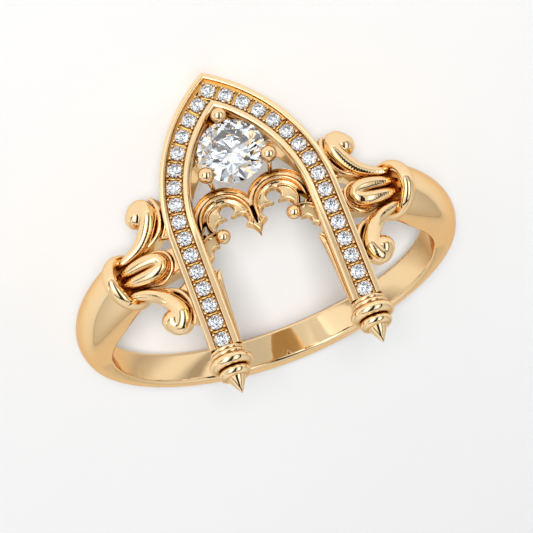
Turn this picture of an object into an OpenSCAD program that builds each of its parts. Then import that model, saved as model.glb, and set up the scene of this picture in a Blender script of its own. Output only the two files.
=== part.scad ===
// Gothic arch ring: a tapered gold band whose two shoulders of scrolls and buds carry a pointed
// arch set with small stones, round a larger stone, cusped tracery and two turned finials.
// The ring is worked out with X across the hand, Y along the finger towards the point of the
// arch and Z out of the finger, and is then laid on its side as it comes to rest on a table.

/* [Band] */
// Inside diameter of the band
finger_d = 18.5; // [18.2:0.1:18.6]
// Width of the band at the palm
palm_w = 1.9; // [1.7:0.1:2.1]
// Diameter of the band where it meets the collars and is round
shoulder_w = 2.9; // [2.8:0.05:3.0]
// Thickness of the band at the palm
band_t = 1.5; // [1.4:0.05:1.6]
// Half of the band's outside width, where it is widest
band_side_x = 10.8; // [10.75:0.05:10.95]

/* [Arch] */
// Distance from the middle of the arch to the line of stones down each leg
leg_x = 3.8; // [3.7:0.05:3.9]
// Radius of the line of stones above the spring of the arch
arch_r = 8.55; // [8.4:0.05:8.65]
// Radius of the arch's outer edge, which leaves a wider rim towards the point
outer_r = 9.65; // [9.55:0.05:9.8]
// Height of the spring of the arch above the middle of the ring
spring_y = 0.5; // [0.3:0.1:0.7]
// Front face of the arch, from the middle of the finger hole
face_z = 10.65; // [10.6:0.05:10.8]
// Depth of the arch frame
frame_d = 1.35; // [1.3:0.05:1.4]
// Width of the channel that holds the small stones
channel_w = 0.9; // [0.86:0.01:0.94]
// Width of the thin outer rail
outer_rail = 0.3; // [0.25:0.05:0.4]
// Width of the inner rail
inner_rail = 0.4; // [0.35:0.05:0.5]

/* [Stones] */
// Diameter of the centre stone
centre_d = 3.56; // [3.4:0.02:3.6]
// Height of the centre stone's axis above the middle of the ring
centre_y = 3.85; // [3.8:0.05:3.95]
// Diameter of a small stone
pave_d = 0.8; // [0.74:0.02:0.8]
// Distance between neighbouring small stones along their line
pave_pitch = 0.96; // [0.94:0.005:0.965]
// Gap between a stone and the metal round it
stone_gap = 0.03; // [0.02:0.01:0.04]
// Diameter of a prong's ball
prong_ball_d = 0.84; // [0.7:0.02:0.9]

/* [Tracery] */
// Radius of the two round arches
lobe_r = 1.8; // [1.75:0.01:1.85]
// Distance of each round arch's centre from the middle
lobe_x = 1.48; // [1.46:0.01:1.5]
// Height of the round arches' centres above the middle of the ring
lobe_y = 0.62; // [0.6:0.01:0.64]
// Diameter of the two hanging beads
bead_d = 0.75; // [0.68:0.01:0.78]

/* [Hidden] */
SIDES = ["left", "right"];
PER_SIDE = 15;
$fn = 48;

gold_colour = [0.93, 0.72, 0.42];
stone_colour = [0.93, 0.95, 0.98];

finger_r = finger_d / 2;
back_z = face_z - frame_d;
arch_cx = leg_x - arch_r;
arch_turn = acos(-arch_cx / arch_r);
arc_length = arch_r * arch_turn * PI / 180;
outer_off = channel_w / 2 + outer_rail;
inner_off = channel_w / 2 + inner_rail;
outer_cx = leg_x + outer_off - outer_r;
tip_y = spring_y + sqrt(pow(outer_r, 2) - pow(outer_cx, 2));
inner_tip_y = spring_y + sqrt(pow(arch_r - inner_off, 2) - pow(arch_cx, 2));
floor_z = face_z - 0.12;
pave_girdle_z = face_z - 0.1;
leg_end_y = spring_y - (PER_SIDE * pave_pitch - arc_length) - pave_d / 2 - stone_gap;

// Shoulder pieces lie round the finger: a direction of 0 degrees is the middle of the head.
collar_a = 42;
collar_mid_r = 10.75;
band_r = finger_r + band_t;
dome_r = shoulder_w / 2;
taper_z = 0;
strap_w = 1.5;
strap_t = 0.8;
strap_start = 20;
strap_end = 60;

// From the front the band's outer edge is a flat arc up each side, and an arc round the palm.
// The arcs meet smoothly, and the band grows thicker towards the collars.
side_arc_r = 12.6;
side_arc_x = band_side_x - side_arc_r;
side_arc_z = 1.4;
arc_step = side_arc_r - band_r;
palm_arc_z = (pow(side_arc_x, 2) + pow(side_arc_z, 2) - pow(arc_step, 2)) / (2 * (side_arc_z - arc_step));
palm_arc_r = band_r + palm_arc_z;
arcs_meet_a = 90 + atan((side_arc_z - palm_arc_z) / -side_arc_x);
collar_z = collar_mid_r * cos(collar_a);
side_arc_a = atan2(collar_mid_r * sin(collar_a) - side_arc_x, collar_z - side_arc_z);

// Block that joins the strap to the back of the arch, and webs that join the scrolls to it
block_end = 33;
block_r = back_z + 0.85;
web_from = 20.5;
web_to = 31;
scroll_under_r = 9.85;
web_r_in = back_z + 0.2;
web_r_out = max(back_z + 0.7, scroll_under_r);
web_y_low = 1.3;
web_y_high = 3.35;

// Collar: the middle of its wire runs round an oval, and the wire's own section is an oval too
collar_half_y = 1.25;
collar_half_r = 1.33;
collar_wire = 0.32;
collar_half_h = 0.40;
collar_steps = 22;
wire_sides = 8;

// Sections of a shoulder scroll, from inside the collar to its curled end
// [direction, y, distance from the finger's axis, half width, half height]
scroll_rows = [
    [45.5, 0.88, 11.26, 0.20, 0.22],
    [42.5, 0.94, 11.16, 0.22, 0.24],
    [40.0, 1.00, 10.94, 0.26, 0.28],
    [37.5, 1.18, 10.66, 0.30, 0.33],
    [35.2, 1.48, 10.44, 0.35, 0.37],
    [33.0, 1.92, 10.28, 0.41, 0.41],
    [31.0, 2.40, 10.22, 0.46, 0.44],
    [30.3, 2.90, 10.22, 0.46, 0.44],
    [31.6, 3.32, 10.22, 0.40, 0.42],
    [33.7, 3.36, 10.22, 0.36, 0.40]];
scroll_ball = [35.1, 3.08, 10.22];
scroll_ball_d = 0.84;

// Sections of a shoulder bud, from inside the collar to its tip
// [direction, y, distance from the finger's axis, half width, half height]
bud_rows = [
    [45.5, 0, 11.02, 0.42, 0.34],
    [42.0, 0, 10.96, 0.56, 0.38],
    [38.5, 0, 10.82, 0.74, 0.40],
    [35.0, 0, 10.64, 0.88, 0.40],
    [31.5, 0, 10.46, 0.82, 0.38],
    [28.7, 0, 10.32, 0.56, 0.34],
    [26.4, 0, 10.28, 0.18, 0.26]];

// Sections of one of the two raised lobes on a bud
// [direction, y, distance from the finger's axis, half width, half height]
lobe_rows = [
    [45.5, 0.24, 11.26, 0.18, 0.18],
    [42.0, 0.28, 11.20, 0.24, 0.23],
    [38.5, 0.33, 11.04, 0.30, 0.27],
    [35.0, 0.36, 10.86, 0.33, 0.28],
    [32.0, 0.31, 10.68, 0.27, 0.23],
    [29.8, 0.14, 10.54, 0.12, 0.14]];

// Turned rings of a finial, from the leg downwards
// [top y below the leg, bottom y below the leg, radius]
finial_rings = [
    [0.00, 0.25, 0.90],
    [0.23, 0.48, 0.96],
    [0.46, 1.06, 1.14],
    [1.04, 1.56, 0.84]];
finial_axis_z = face_z - frame_d / 2;
finial_x = leg_x - (inner_off - outer_off) / 2;
neck_r = 0.62;
neck_up = 0.4;
neck_down = 1.3;
cone_r = 0.5;
cone_h = 0.85;
cone_top = 1.4;
cone_start = 1.55;
cone_tip_r = 0.03;

// Circles of the open tracery's right half: the openings between the cusps
// [x, y, radius]
top_foil = [1.27, 1.17, 0.39];
inner_foil = [0.77, 0.45, 0.37];
outer_foil = [1.60, 0.26, 0.53];
hook_foils = [[2.33, -0.83, 0.34], [2.58, -1.40, 0.42]];

// Rings of the tracery that are drawn in part: the arm to the bead and the rim over the hook
// [x, y, outer radius, inner radius]
branch = [1.60, 0.68, 0.90, 0.66];
hook_rim = [2.35, -0.86, 1.07, 0.84];

// Corners of the tracery's straight-sided shapes
// [x, y]
pendant = [[0, 0.2], [0.62, 0.2], [0.57, 0.12], [0.24, -0.10], [0.07, -0.42], [0, -0.64]];
opening = [[0.97, 0.77], [1.53, 0.80], [1.95, 0.4], [2.02, -1.6], [0, -1.6], [0, -0.64],
    [0.07, -0.42], [0.24, -0.10], [0.57, 0.12]];
side_gap = [[2.50, 0.95], [2.96, 0.24], [2.44, 0.27], [2.53, 0.6]];
hook = [[2.1, 0.15], [2.3, 0.2], [2.63, 0.18], [3.1, 0.02], [3.1, -2.7], [2.94, -2.7],
    [2.82, -2.17], [2.68, -1.84], [2.86, -1.74], [2.60, -0.97], [2.2, -0.5]];

bead_at = [1.91, -0.18];
tracery_x = 3.3;
tracery_top = face_z - 0.42;
tracery_bottom = face_z - 1.1;
outer_rim_z = face_z - 0.18;
inner_rim_z = face_z - 0.3;
rim_w = 0.24;
inner_rim_in = 0.3;
inner_rim_w = 0.32;

// Proportions of the cut stones, as shares of the girdle's radius
crown_share = 0.3;
girdle_share = 0.05;
pavilion_share = 0.84;
table_share = 0.57;

// The centre stone's point stays clear of the finger, and the balls hold it above its girdle.
culet_gap = 0.05;
centre_girdle_z = finger_r + culet_gap + (girdle_share + pavilion_share) * centre_d / 2;
centre_hole = 0.1;
centre_hole_depth = 1.8;
prong_bite = 0.25;
prong_r = centre_d / 2 + prong_ball_d / 2 - prong_bite;
prong_angles = [90, -30, 210];
prong_ball_z = centre_girdle_z + 0.32;
side_wire_foot = [1.58, 2.3, tracery_top - 0.2];
side_wire_head = [prong_r * cos(30), centre_y - prong_r * sin(30), prong_ball_z];
side_wire_d = 0.32;
top_wire_d = 0.4;
top_wire_y = centre_y + prong_r + 0.1;
top_foot_bite = 0.24;
top_foot_h = 0.9;
pave_hole = 0.2;

function stone_name(side, i) = str(side, "_stone_", i < 10 ? "0" : "", i);

// Place on the right-hand line of stones at a distance from the point of the arch
function line_place(s) = s < arc_length
    ? let (a = arch_turn - s / arch_r * 180 / PI) [arch_cx + arch_r * cos(a), spring_y + arch_r * sin(a)]
    : [leg_x, spring_y - (s - arc_length)];

// Rows between the rows of a table, on a smooth curve through them
function smooth_rows(rows, steps) = concat(
    [for (i = [0 : len(rows) - 2], k = [0 : steps - 1])
        let (t = k / steps, a = rows[max(i - 1, 0)], b = rows[i], c = rows[i + 1],
            d = rows[min(i + 2, len(rows) - 1)])
        b + t * (c - a) / 2 + t * t * (a - 2.5 * b + 2 * c - d / 2)
            + t * t * t * (1.5 * (b - c) + (d - a) / 2)],
    [rows[len(rows) - 1]]);

function unit(v) = v / norm(v);
function around(dir, y, r) = [r * sin(dir), y, r * cos(dir)];

// Oval sections along rows of [direction, y, distance, half width, half height]
function oval_rings(rows, sides) = let (at = [for (r = rows) around(r[0], r[1], r[2])])
    [for (i = [0 : len(rows) - 1])
        let (ahead = unit(at[min(i + 1, len(rows) - 1)] - at[max(i - 1, 0)]),
            side = unit(cross(ahead, around(rows[i][0], 0, 1))),
            up = cross(side, ahead))
        [for (k = [0 : sides - 1]) let (a = 360 * (k + 0.5) / sides)
            at[i] + side * rows[i][3] * cos(a) + up * rows[i][4] * sin(a)]];

// Closed surface through rings that all have the same number of points
module skin(rings) {
    n = len(rings[0]);
    last = (len(rings) - 1) * n;
    polyhedron([for (ring = rings, p = ring) p],
        concat(
            [for (j = [1 : n - 2]) [0, j + 1, j]],
            [for (i = [0 : len(rings) - 2], j = [0 : n - 1], half = [0, 1])
                let (a = i * n + j, b = i * n + (j + 1) % n)
                half == 0 ? [a, b, a + n] : [b, b + n, a + n]],
            [for (j = [1 : n - 2]) [last, last + j, last + j + 1]]));
}

module rod(from, to, d) {
    way = to - from;
    translate(from)
        rotate([0, acos(way[2] / norm(way)), atan2(way[1], way[0])])
            cylinder(h = norm(way), d = d);
}

module at(place) {
    translate(place)
        children();
}

module both_sides() {
    children();
    mirror([1, 0, 0])
        children();
}

module both_ways() {
    children();
    mirror([0, 1, 0])
        children();
}

module disc(circle_row) {
    translate([circle_row[0], circle_row[1]])
        circle(circle_row[2]);
}

// Turns a section [distance, y] round the finger between two directions
module round_finger(from, to) {
    rotate([-90, 0, 0])
        rotate([0, 0, from - 90])
            rotate_extrude(angle = to - from)
                children();
}

module finger_arc(from, to, r_in, r_out, y_low, y_high) {
    round_finger(from, to)
        translate([r_in, y_low])
            square([r_out - r_in, y_high - y_low]);
}

// Round section of the band, with its outer edge on an arc of radius r
module band_section(r) {
    translate([r - dome_r, 0])
        circle(dome_r);
}

// Side view of the band, which narrows from the collars towards the palm
module band_taper() {
    wide = dome_r + 0.12;
    narrow = palm_w / 2;
    rotate([90, 0, 90])
        linear_extrude(3 * finger_d, center = true)
            polygon([[-narrow, -finger_d], [narrow, -finger_d], [narrow, taper_z], [wide, collar_z],
                [wide, finger_d], [-wide, finger_d], [-wide, collar_z], [-narrow, taper_z]]);
}

module band() {
    $fn = 96;
    intersection() {
        union() {
            translate([0, 0, palm_arc_z])
                round_finger(arcs_meet_a, 360 - arcs_meet_a)
                    band_section(palm_arc_r);
            both_sides()
                translate([side_arc_x, 0, side_arc_z])
                    round_finger(side_arc_a, arcs_meet_a)
                        band_section(side_arc_r);
        }
        band_taper();
    }
}

module collar() {
    along = around(collar_a + 90, 0, 1);
    out = around(collar_a, 0, 1);
    loop_skin([for (i = [0 : collar_steps - 1]) let (a = 360 * i / collar_steps)
        [for (k = [0 : wire_sides - 1]) let (b = 360 * (k + 0.5) / wire_sides)
            out * (collar_mid_r + (collar_half_r + collar_wire * cos(b)) * sin(a))
            + [0, (collar_half_y + collar_wire * cos(b)) * cos(a), 0]
            + along * collar_half_h * sin(b)]]);
}

// Closed surface through rings that run round in a loop
module loop_skin(rings) {
    n = len(rings[0]);
    m = len(rings);
    polyhedron([for (ring = rings, p = ring) p],
        [for (i = [0 : m - 1], j = [0 : n - 1], half = [0, 1])
            let (a = i * n + j, b = i * n + (j + 1) % n, c = (i + 1) % m * n + j,
                d = (i + 1) % m * n + (j + 1) % n)
            half == 0 ? [a, b, c] : [b, d, c]]);
}

module scroll() {
    skin(oval_rings(smooth_rows(scroll_rows, 3), 8));
    translate(around(scroll_ball[0], scroll_ball[1], scroll_ball[2]))
        sphere(d = scroll_ball_d);
}

module bud() {
    skin(oval_rings(smooth_rows(bud_rows, 2), 10));
    both_ways()
        skin(oval_rings(smooth_rows(lobe_rows, 2), 8));
}

// Inner strap under a bud, and the webs that tie the scrolls to the leg of the arch
module shoulder_back() {
    half = strap_w / 2;
    finger_arc(strap_start, strap_end, finger_r - 0.1, finger_r + strap_t, -half, half);
    finger_arc(strap_start, block_end, finger_r - 0.1, block_r, -half, half);
    both_ways()
        finger_arc(web_from, web_to, web_r_in, web_r_out, web_y_low, web_y_high);
}

module shoulder() {
    collar();
    both_ways()
        scroll();
    bud();
    shoulder_back();
}

// Outline of the pointed arch: two arcs of radius r above legs set out from the line of stones
module arch_outline(off, r) {
    intersection() {
        arch_side(off, r, -1);
        arch_side(off, r, 1);
        translate([-2 * leg_x, spring_y - 0.01])
            square([4 * leg_x, 3 * leg_x]);
    }
    translate([-leg_x - off, leg_end_y])
        square([2 * (leg_x + off), spring_y - leg_end_y]);
}

module arch_side(off, r, side) {
    translate([side * (leg_x + off - r), spring_y])
        circle(r);
}

module arch_frame() {
    difference() {
        translate([0, 0, back_z])
            linear_extrude(frame_d)
                arch_outline(outer_off, outer_r);
        translate([0, 0, back_z - 1])
            linear_extrude(frame_d + 2)
                open_outline(-inner_off);
        difference() {
            translate([0, 0, floor_z])
                linear_extrude(1)
                    arch_outline(channel_w / 2, outer_r - outer_rail);
            translate([0, 0, floor_z - 1])
                linear_extrude(3)
                    arch_outline(-channel_w / 2, arch_r - channel_w / 2);
        }
    }
}

// The arch's outline carried on below its legs
module open_outline(off) {
    arch_outline(off, arch_r + off);
    translate([-leg_x - off, leg_end_y - 1])
        square([2 * (leg_x + off), 1.5]);
}

// Right half of the round arch, from its outer edge to the cusped opening
module round_arch() {
    difference() {
        union() {
            intersection() {
                disc([lobe_x, lobe_y, lobe_r]);
                translate([0, -lobe_r])
                    square([tracery_x, 3 * lobe_r]);
            }
            polygon(pendant);
        }
        disc(top_foil);
        disc(inner_foil);
        disc(outer_foil);
        polygon(opening);
        polygon(side_gap);
        translate([bead_at[0], -lobe_r])
            square([tracery_x, lobe_r]);
    }
}

// Part of a flat ring, kept inside a box from one corner to another
module part_ring(ring, low, high) {
    intersection() {
        difference() {
            disc(ring);
            translate([ring[0], ring[1]])
                circle(ring[3]);
        }
        translate(low)
            square(high - low);
    }
}

module tracery_outline() {
    round_arch();
    part_ring(branch, [1.95, -0.04], [2.6, 1.6]);
    difference() {
        polygon(hook);
        for (foil = hook_foils)
            disc(foil);
    }
}

module raised(top) {
    translate([0, 0, tracery_bottom])
        linear_extrude(top - tracery_bottom)
            children();
}

// Raised rims that follow the round arches and the hooks
module tracery_rims() {
    raised(outer_rim_z)
        part_ring([lobe_x, lobe_y, lobe_r, lobe_r - rim_w], [0, lobe_y + 0.3], [3.1, 3]);
    raised(inner_rim_z)
        part_ring([lobe_x, lobe_y, lobe_r - inner_rim_in, lobe_r - inner_rim_in - inner_rim_w],
            [0.02, -0.1], [tracery_x, 3]);
    raised(inner_rim_z)
        part_ring(hook_rim, [2.15, -0.5], [3.15, 0.5]);
}

module tracery() {
    both_sides() {
        raised(tracery_top)
            tracery_outline();
        tracery_rims();
        at([bead_at[0], bead_at[1], tracery_top - 0.1])
            sphere(d = bead_d);
    }
}

module prong(angle) {
    at([prong_r * cos(angle), centre_y + prong_r * sin(angle), prong_ball_z])
        sphere(d = prong_ball_d);
}

// Wires that carry the ball prongs on the round arches and on the point of the frame
module prong_wires() {
    both_sides()
        rod(side_wire_foot, side_wire_head, side_wire_d);
    rod([0, top_wire_y, back_z + 0.2], [0, top_wire_y, prong_ball_z], top_wire_d);
    translate([-top_wire_d / 2, top_wire_y, back_z + 0.1])
        cube([top_wire_d, max(0, inner_tip_y - top_wire_y) + top_foot_bite, top_foot_h]);
}

// Section of one turned ring of a finial: a flat disc with a half-round edge
module turned_ring(ring) {
    half = (ring[1] - ring[0]) / 2;
    translate([0, ring[0]])
        square([ring[2] - half, 2 * half]);
    translate([ring[2] - half, ring[0] + half])
        circle(half);
}

module finial() {
    translate([finial_x, leg_end_y, finial_axis_z])
        rotate([90, 0, 0])
            rotate_extrude() {
                translate([0, -neck_up])
                    square([neck_r, neck_up + neck_down]);
                for (ring = finial_rings)
                    turned_ring(ring);
                polygon([[0, cone_top], [cone_r, cone_top], [cone_r, cone_start],
                    [cone_tip_r, cone_start + cone_h], [0, cone_start + cone_h]]);
            }
}

// A cone and cylinders a little larger than a round stone, with the hole under it
module stone_room(r, gap, hole_r, depth) {
    room = r + gap;
    translate([0, 0, -girdle_share * r - gap])
        cylinder(h = girdle_share * r + 2 * gap, r = room);
    translate([0, 0, gap - 0.001])
        cylinder(h = crown_share * r + gap, r1 = room, r2 = room - (1 - table_share) * r);
    translate([0, 0, -(girdle_share + pavilion_share) * r - gap])
        cylinder(h = pavilion_share * r + 0.001, r1 = gap, r2 = room);
    translate([0, 0, -depth])
        cylinder(h = depth, r = hole_r);
}

module finger_hole() {
    rotate([90, 0, 0])
        cylinder(h = 4 * leg_x, r = finger_r, center = true, $fn = 96);
}

module ring() {
    difference() {
        union() {
            band();
            both_sides()
                shoulder();
            arch_frame();
            tracery();
            for (angle = prong_angles)
                prong(angle);
            prong_wires();
            both_sides()
                finial();
        }
        finger_hole();
        at([0, centre_y, centre_girdle_z])
            stone_room(centre_d / 2, stone_gap, centre_hole, centre_hole_depth);
        for (place = pave_places())
            at(place)
                stone_room(pave_d / 2, stone_gap, pave_hole, frame_d + 1);
    }
}

function pave_place(side, i) = let (p = line_place(i * pave_pitch))
    [side == "left" ? -p[0] : p[0], p[1], pave_girdle_z];
function pave_places() = concat([pave_place("right", 0)],
    [for (side = SIDES, i = [1 : PER_SIDE]) pave_place(side, i)]);

function circle_points(r, z, n, turn) =
    [for (i = [0 : n - 1]) let (a = 360 * i / n + turn) [r * cos(a), r * sin(a), z]];

// Round brilliant: table, star, kite and girdle facets above, and kites and halves below
module brilliant(r) {
    crown = crown_share * r;
    pavilion = pavilion_share * r;
    table = table_share * r;
    star = 0.8 * r;
    half = 0.3 * r;
    star_z = crown * (1 - (star * cos(22.5) - table) / (r - table));
    half_z = -girdle_share * r - pavilion * (1 - half * cos(22.5) / r);
    points = concat(
        circle_points(table, crown, 8, 0),
        circle_points(star, star_z, 8, 22.5),
        circle_points(r, 0, 16, 0),
        circle_points(r, -girdle_share * r, 16, 0),
        circle_points(half, half_z, 8, 22.5),
        [[0, 0, -girdle_share * r - pavilion]]);
    polyhedron(points, concat(
        [for (k = [1 : 6]) [0, k + 1, k]],
        [for (k = [0 : 7]) let (n = (k + 1) % 8) each [
            [k, n, 8 + k],
            [n, 16 + 2 * n, 8 + k],
            [k, 8 + k, 16 + 2 * k],
            [8 + k, 16 + 2 * k + 1, 16 + 2 * k],
            [8 + k, 16 + 2 * n, 16 + 2 * k + 1],
            [48 + k, 32 + 2 * k, 32 + 2 * k + 1],
            [48 + k, 32 + 2 * k + 1, 32 + 2 * n],
            [48 + k, 32 + 2 * n, 56],
            [48 + k, 56, 32 + 2 * k]]],
        [for (k = [0 : 15]) let (n = (k + 1) % 16) each [
            [16 + k, 16 + n, 32 + k],
            [16 + n, 32 + n, 32 + k]]]));
}

// Small eight-sided stone with a table, eight crown facets and eight pavilion facets
module small_stone(r) {
    points = concat(
        circle_points(table_share * r, crown_share * r, 8, 0),
        circle_points(r, 0, 8, 0),
        circle_points(r, -girdle_share * r, 8, 0),
        [[0, 0, -(girdle_share + pavilion_share) * r]]);
    polyhedron(points, concat(
        [for (k = [1 : 6]) [0, k + 1, k]],
        [for (k = [0 : 7]) let (n = (k + 1) % 8) each [
            [k, n, 8 + k],
            [n, 8 + n, 8 + k],
            [8 + k, 8 + n, 16 + k],
            [8 + n, 16 + n, 16 + k],
            [16 + k, 16 + n, 24]]]));
}

// The ring lies on its side: the arch's point and the band's rim at the palm meet the table
palm_edge_r = band_r - dome_r + sqrt(pow(dome_r, 2) - pow(palm_w / 2, 2));
lie = atan((tip_y - palm_w / 2) / (back_z + palm_edge_r));
rest_z = cos(lie) * tip_y - sin(lie) * back_z;
palm_reach = max(cos(lie) * palm_edge_r + sin(lie) * palm_w / 2,
    cos(lie) * (band_r - dome_r) + dome_r);
head_reach = sin(lie) * tip_y + cos(lie) * face_z;

module laid_down() {
    translate([0, (head_reach - palm_reach) / 2, rest_z])
        rotate([-(90 + lie), 0, 0])
            rotate([0, 180, 0])
                children();
}

module gold() {
    color(gold_colour)
        laid_down()
            ring();
}

module centre_stone() {
    color(stone_colour)
        laid_down()
            at([0, centre_y, centre_girdle_z])
                brilliant(centre_d / 2);
}

module pave_stone(side, i) {
    color(stone_colour)
        laid_down()
            at(pave_place(side, i))
                small_stone(pave_d / 2);
}

gold();
centre_stone();
pave_stone("right", 0);  // apex_stone
for (side = SIDES, i = [1 : PER_SIDE])
    pave_stone(side, i);
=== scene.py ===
import math
import bmesh
import bpy
import numpy as np
from mathutils import Matrix, Vector


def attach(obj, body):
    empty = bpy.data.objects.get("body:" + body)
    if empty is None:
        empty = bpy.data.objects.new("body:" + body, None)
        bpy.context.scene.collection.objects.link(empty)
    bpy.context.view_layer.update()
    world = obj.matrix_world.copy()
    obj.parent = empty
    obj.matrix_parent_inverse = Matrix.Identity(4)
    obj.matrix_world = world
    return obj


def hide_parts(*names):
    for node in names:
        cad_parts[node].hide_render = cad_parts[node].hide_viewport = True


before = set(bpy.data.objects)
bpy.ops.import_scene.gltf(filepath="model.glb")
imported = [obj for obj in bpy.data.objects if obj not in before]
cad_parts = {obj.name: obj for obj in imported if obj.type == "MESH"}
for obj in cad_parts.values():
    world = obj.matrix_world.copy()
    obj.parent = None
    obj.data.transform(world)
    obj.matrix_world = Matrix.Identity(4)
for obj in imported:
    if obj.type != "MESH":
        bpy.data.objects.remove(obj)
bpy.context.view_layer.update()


# Sizes in millimetres

# They are in the ring's own directions, from the middle of the finger hole: X across the hand, Y along
# the finger towards the point of the arch, Z out of the finger.

# Band: radius of the finger hole, thickness and width at the palm, width at the shoulders
FINGER_R = 9.25
BAND_T = 1.5
PALM_W = 1.9
SHOULDER_W = 2.9
# Outer arc up each side of the band: radius and centre
SIDE_R = 12.6
SIDE_X = 10.8 - SIDE_R
SIDE_Z = 1.4
# Collars: direction round the finger in degrees from Z, and distance from its middle
COLLAR_A = 42.0
COLLAR_R = 10.75
# Arch: place of the legs, radii of the line of stones and outer rail, start of the arcs, face, depth
LEG_X = 3.8
ARCH_R = 8.55
OUTER_R = 9.65
SPRING_Y = 0.5
FACE_Z = 10.65
FRAME_D = 1.35
# Channel between the rails, and the rails' widths
CHANNEL_W = 0.9
OUTER_RAIL = 0.3
INNER_RAIL = 0.4
# Small stones: how many down each side, spacing and radius
PER_SIDE = 15
PITCH = 0.96
PAVE_R = 0.4
# Centre stone: radius and place
CENTRE_R = 1.78
CENTRE_Y = 3.85
CENTRE_Z = 10.884
# Ball prongs: distance from the centre stone's middle, radius and height
PRONG_R = 1.95
BALL_R = 0.42
BALL_Z = 11.204
# Twin arches of the tracery: centre and outer radius
LOBE_X = 1.48
LOBE_Y = 0.62
LOBE_R = 1.8

ARCH_CX = LEG_X - ARCH_R
ARC_TURN = math.acos(-ARCH_CX / ARCH_R)
ARC_LENGTH = ARCH_R * ARC_TURN
OUTER_OFF = CHANNEL_W / 2 + OUTER_RAIL
INNER_OFF = CHANNEL_W / 2 + INNER_RAIL
BACK_Z = FACE_Z - FRAME_D
OUTER_CX = LEG_X + OUTER_OFF - OUTER_R
TIP_Y = SPRING_Y + math.sqrt(OUTER_R ** 2 - OUTER_CX ** 2)
LEG_END = SPRING_Y - (PER_SIDE * PITCH - ARC_LENGTH) - PAVE_R - 0.03
FINIAL_X = LEG_X - (INNER_OFF - OUTER_OFF) / 2
FINIAL_Z = FACE_Z - FRAME_D / 2

# The ring lies on its side, on the point of the arch and the edge of the band at the palm.
BAND_R = FINGER_R + BAND_T
DOME_R = SHOULDER_W / 2
PALM_EDGE = BAND_R - DOME_R + math.sqrt(DOME_R ** 2 - (PALM_W / 2) ** 2)
LIE = math.atan((TIP_Y - PALM_W / 2) / (BACK_Z + PALM_EDGE))
LIE_SIN, LIE_COS = math.sin(LIE), math.cos(LIE)
REST_Z = LIE_COS * TIP_Y - LIE_SIN * BACK_Z
PALM_REACH = max(LIE_COS * PALM_EDGE + LIE_SIN * PALM_W / 2, LIE_COS * (BAND_R - DOME_R) + DOME_R)
SHIFT_Y = (LIE_SIN * TIP_Y + LIE_COS * FACE_Z - PALM_REACH) / 2
TURN = np.array([[-1, 0, 0], [0, -LIE_SIN, -LIE_COS], [0, -LIE_COS, LIE_SIN]])


def to_row(points):
    """Points of the ring's own directions, in millimetres, as places in the scene, in metres."""
    return (np.asarray(points, float).reshape(-1, 3) @ TURN.T + [0, SHIFT_Y, REST_Z]) * 0.001


def around(direction, y, r):
    """A point at a direction round the finger."""
    a = np.radians(direction)
    return np.stack([r * np.sin(a), y + 0 * r, r * np.cos(a)], -1)


def turns(n):
    """Angles of n points evenly round a circle."""
    return np.arange(n) * 2 * math.pi / n


# Node helpers

class Maths:
    """A socket that takes part in sums, so that a shader's formula reads as one."""

    def __init__(self, tree, socket):
        self.tree = tree
        self.socket = socket

    def do(self, how, *others):
        node = self.tree.nodes.new("ShaderNodeMath")
        node.operation = how
        self.tree.links.new(self.socket, node.inputs[0])
        for i, other in enumerate(others):
            if isinstance(other, Maths):
                self.tree.links.new(other.socket, node.inputs[i + 1])
            else:
                node.inputs[i + 1].default_value = other
        return Maths(self.tree, node.outputs[0])

    def __add__(self, other):
        return self.do("ADD", other)

    def __sub__(self, other):
        return self.do("SUBTRACT", other)

    def __mul__(self, other):
        return self.do("MULTIPLY", other)

    def __truediv__(self, other):
        return self.do("DIVIDE", other)

    def abs(self):
        return self.do("ABSOLUTE")

    def ramp(self, low, high, to_low=0.0, to_high=1.0):
        """A smooth step from to_low at low to to_high at high."""
        node = self.tree.nodes.new("ShaderNodeMapRange")
        node.interpolation_type = "SMOOTHSTEP"
        self.tree.links.new(self.socket, node.inputs["Value"])
        for name, value in (("From Min", low), ("From Max", high), ("To Min", to_low), ("To Max", to_high)):
            node.inputs[name].default_value = value
        return Maths(self.tree, node.outputs[0])

    def near(self, middle, inner, outer):
        """1 within inner of middle, 0 past outer."""
        return (self - middle).abs().ramp(inner, outer, 1, 0)


def mix_colour(tree, factor, a, b):
    """Between two colours, each a tuple or a socket."""
    node = tree.nodes.new("ShaderNodeMix")
    node.data_type = "RGBA"
    tree.links.new(factor.socket, node.inputs["Factor"])
    for name, value in (("A", a), ("B", b)):
        socket = [s for s in node.inputs if s.name == name and s.type == "RGBA"][0]
        if isinstance(value, tuple):
            socket.default_value = (*value, 1)
        else:
            tree.links.new(value, socket)
    return [s for s in node.outputs if s.type == "RGBA"][0]


def new_material(name):
    made = bpy.data.materials.new(name)
    made.use_nodes = True
    return made, made.node_tree, made.node_tree.nodes["Principled BSDF"]


def noise(tree, scale, detail=3.0, stretch=None):
    place = tree.nodes.new("ShaderNodeTexCoord").outputs["Object"]
    if stretch:
        mapping = tree.nodes.new("ShaderNodeMapping")
        mapping.inputs["Scale"].default_value = stretch
        tree.links.new(place, mapping.inputs["Vector"])
        place = mapping.outputs["Vector"]
    node = tree.nodes.new("ShaderNodeTexNoise")
    node.inputs["Scale"].default_value = scale
    node.inputs["Detail"].default_value = detail
    tree.links.new(place, node.inputs["Vector"])
    return Maths(tree, node.outputs["Fac"])


# Looks

# Painted shade: the near-black colour laid into the narrowest crevices and along the outline of the gold.
PAINTED_SHADE_LINE_COLOUR = (0.14, 0.06, 0.015)


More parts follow.
